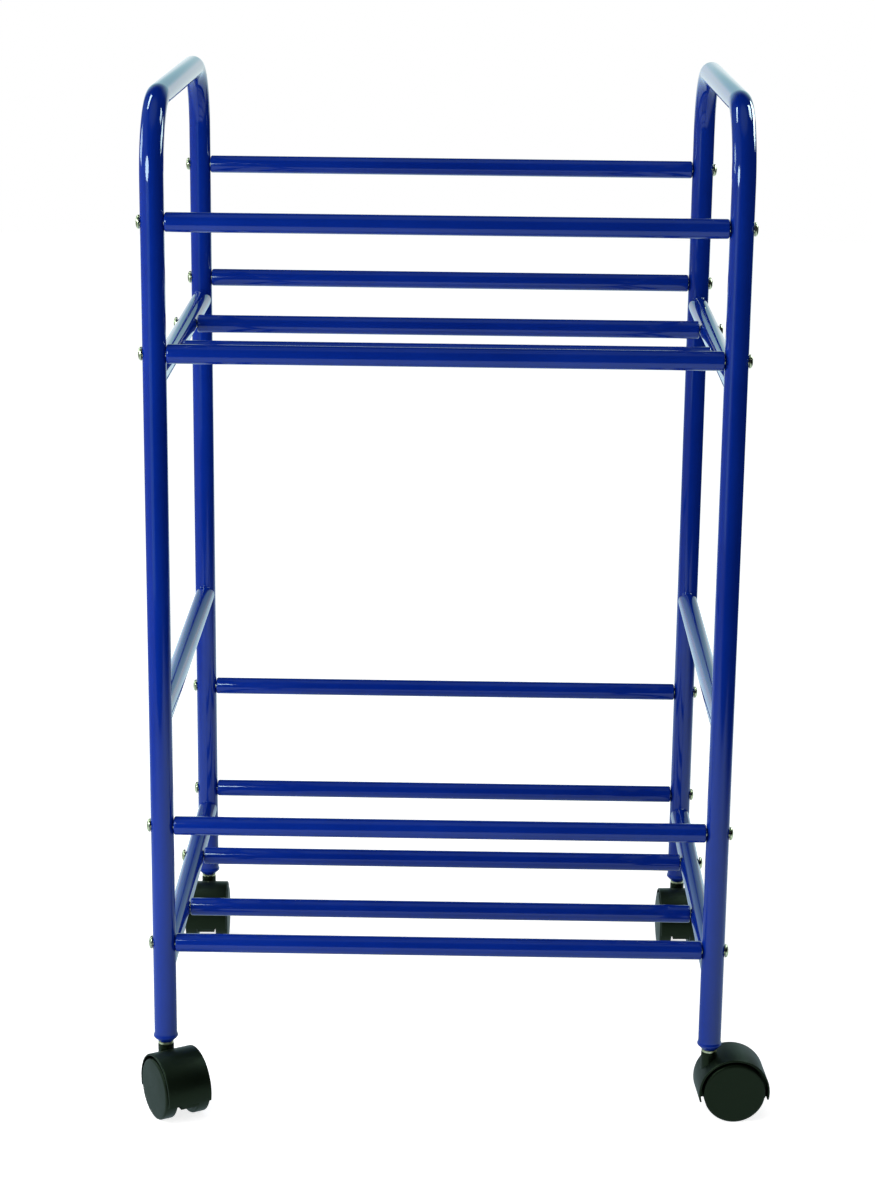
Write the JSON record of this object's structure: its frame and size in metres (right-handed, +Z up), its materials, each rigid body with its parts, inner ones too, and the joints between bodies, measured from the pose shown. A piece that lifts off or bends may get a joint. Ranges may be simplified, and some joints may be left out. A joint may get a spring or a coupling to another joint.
{
  "type": "storage trolley",
  "caption": "Open storage trolley of bent steel tube, with upper and lower tiers of rails and base bars for bins, end handles and swivelling hooded casters.",
  "frame": {"origin": "on the floor, at the middle of the footprint of the whole trolley as it stands, casters included", "axes": "+X to the right, +Y to the back, +Z up; the front faces -Y and the side frames lie in planes of constant X"},
  "size_m": [0.5304, 0.451, 0.8496],
  "materials": {
    "blue_enamel": "high-gloss enamel",
    "black_plastic": "satin moulded",
    "zinc_plate": "zinc plate"
  },
  "bodies": {
    "frame": {"caster_back_left_stem": "zinc_plate", "caster_back_right_stem": "zinc_plate", "caster_front_left_stem": "zinc_plate", "caster_front_right_stem": "zinc_plate", "lower_shelf_back_base_bar": "blue_enamel", "lower_shelf_back_base_bar_screw_left": "zinc_plate", "lower_shelf_back_base_bar_screw_right": "zinc_plate", "lower_shelf_back_bottom_rail": "blue_enamel", "lower_shelf_back_bottom_rail_screw_left": "zinc_plate", "lower_shelf_back_bottom_rail_screw_right": "zinc_plate", "lower_shelf_back_top_rail": "blue_enamel", "lower_shelf_back_top_rail_screw_left": "zinc_plate", "lower_shelf_back_top_rail_screw_right": "zinc_plate", "lower_shelf_front_base_bar": "blue_enamel", "lower_shelf_front_base_bar_screw_left": "zinc_plate", "lower_shelf_front_base_bar_screw_right": "zinc_plate", "lower_shelf_front_bottom_rail": "blue_enamel", "lower_shelf_front_bottom_rail_screw_left": "zinc_plate", "lower_shelf_front_bottom_rail_screw_right": "zinc_plate", "lower_shelf_front_top_rail": "blue_enamel", "lower_shelf_front_top_rail_screw_left": "zinc_plate", "lower_shelf_front_top_rail_screw_right": "zinc_plate", "side_frame_left": "blue_enamel", "side_frame_right": "blue_enamel", "upper_shelf_back_base_bar": "blue_enamel", "upper_shelf_back_base_bar_screw_left": "zinc_plate", "upper_shelf_back_base_bar_screw_right": "zinc_plate", "upper_shelf_back_bottom_rail": "blue_enamel", "upper_shelf_back_bottom_rail_screw_left": "zinc_plate", "upper_shelf_back_bottom_rail_screw_right": "zinc_plate", "upper_shelf_back_top_rail": "blue_enamel", "upper_shelf_back_top_rail_screw_left": "zinc_plate", "upper_shelf_back_top_rail_screw_right": "zinc_plate", "upper_shelf_front_base_bar": "blue_enamel", "upper_shelf_front_base_bar_screw_left": "zinc_plate", "upper_shelf_front_base_bar_screw_right": "zinc_plate", "upper_shelf_front_bottom_rail": "blue_enamel", "upper_shelf_front_bottom_rail_screw_left": "zinc_plate", "upper_shelf_front_bottom_rail_screw_right": "zinc_plate", "upper_shelf_front_top_rail": "blue_enamel", "upper_shelf_front_top_rail_screw_left": "zinc_plate", "upper_shelf_front_top_rail_screw_right": "zinc_plate"},
    "front_left_caster": {"caster_front_left_hood": "black_plastic", "caster_front_left_axle": "zinc_plate"},
    "front_left_caster_left_wheel": {"caster_front_left_left_wheel": "black_plastic"},
    "front_left_caster_right_wheel": {"caster_front_left_right_wheel": "black_plastic"},
    "front_right_caster": {"caster_front_right_hood": "black_plastic", "caster_front_right_axle": "zinc_plate"},
    "front_right_caster_left_wheel": {"caster_front_right_left_wheel": "black_plastic"},
    "front_right_caster_right_wheel": {"caster_front_right_right_wheel": "black_plastic"},
    "back_left_caster": {"caster_back_left_hood": "black_plastic", "caster_back_left_axle": "zinc_plate"},
    "back_left_caster_left_wheel": {"caster_back_left_left_wheel": "black_plastic"},
    "back_left_caster_right_wheel": {"caster_back_left_right_wheel": "black_plastic"},
    "back_right_caster": {"caster_back_right_hood": "black_plastic", "caster_back_right_axle": "zinc_plate"},
    "back_right_caster_left_wheel": {"caster_back_right_left_wheel": "black_plastic"},
    "back_right_caster_right_wheel": {"caster_back_right_right_wheel": "black_plastic"}
  },
  "joints": [
    {"name": "front_left_swivel", "type": "hinge", "parent": "frame", "child": "front_left_caster", "pos_m": [-0.24345, -0.17243, 0.05615], "axis": [0, 0, 1], "continuous": true},
    {"name": "front_left_left_wheel_spin", "type": "hinge", "parent": "front_left_caster", "child": "front_left_caster_left_wheel", "pos_m": [-0.22079, -0.18246, 0.0259], "axis": [0.8669, 0.4985, 0], "continuous": true},
    {"name": "front_left_right_wheel_spin", "type": "hinge", "parent": "front_left_caster", "child": "front_left_caster_right_wheel", "pos_m": [-0.24618, -0.19707, 0.0259], "axis": [0.8669, 0.4985, 0], "continuous": true},
    {"name": "front_right_swivel", "type": "hinge", "parent": "frame", "child": "front_right_caster", "pos_m": [0.21405, -0.17243, 0.05615], "axis": [0, 0, 1], "continuous": true},
    {"name": "front_right_left_wheel_spin", "type": "hinge", "parent": "front_right_caster", "child": "front_right_caster_left_wheel", "pos_m": [0.23311, -0.15658, 0.0259], "axis": [-0.061, 0.9981, 0], "continuous": true},
    {"name": "front_right_right_wheel_spin", "type": "hinge", "parent": "front_right_caster", "child": "front_right_caster_right_wheel", "pos_m": [0.2349, -0.18583, 0.0259], "axis": [-0.061, 0.9981, 0], "continuous": true},
    {"name": "back_left_swivel", "type": "hinge", "parent": "frame", "child": "back_left_caster", "pos_m": [-0.24345, 0.21457, 0.05615], "axis": [0, 0, 1], "continuous": true},
    {"name": "back_left_left_wheel_spin", "type": "hinge", "parent": "back_left_caster", "child": "back_left_caster_left_wheel", "pos_m": [-0.22829, 0.19496, 0.0259], "axis": [0.9997, 0.0262, 0], "continuous": true},
    {"name": "back_left_right_wheel_spin", "type": "hinge", "parent": "back_left_caster", "child": "back_left_caster_right_wheel", "pos_m": [-0.25758, 0.1942, 0.0259], "axis": [0.9997, 0.0262, 0], "continuous": true},
    {"name": "back_right_swivel", "type": "hinge", "parent": "frame", "child": "back_right_caster", "pos_m": [0.21405, 0.21457, 0.05615], "axis": [0, 0, 1], "continuous": true},
    {"name": "back_right_left_wheel_spin", "type": "hinge", "parent": "back_right_caster", "child": "back_right_caster_left_wheel", "pos_m": [0.22949, 0.19518, 0.0259], "axis": [0.9992, 0.0401, 0], "continuous": true},
    {"name": "back_right_right_wheel_spin", "type": "hinge", "parent": "back_right_caster", "child": "back_right_caster_right_wheel", "pos_m": [0.20021, 0.194, 0.0259], "axis": [0.9992, 0.0401, 0], "continuous": true}
  ]
}
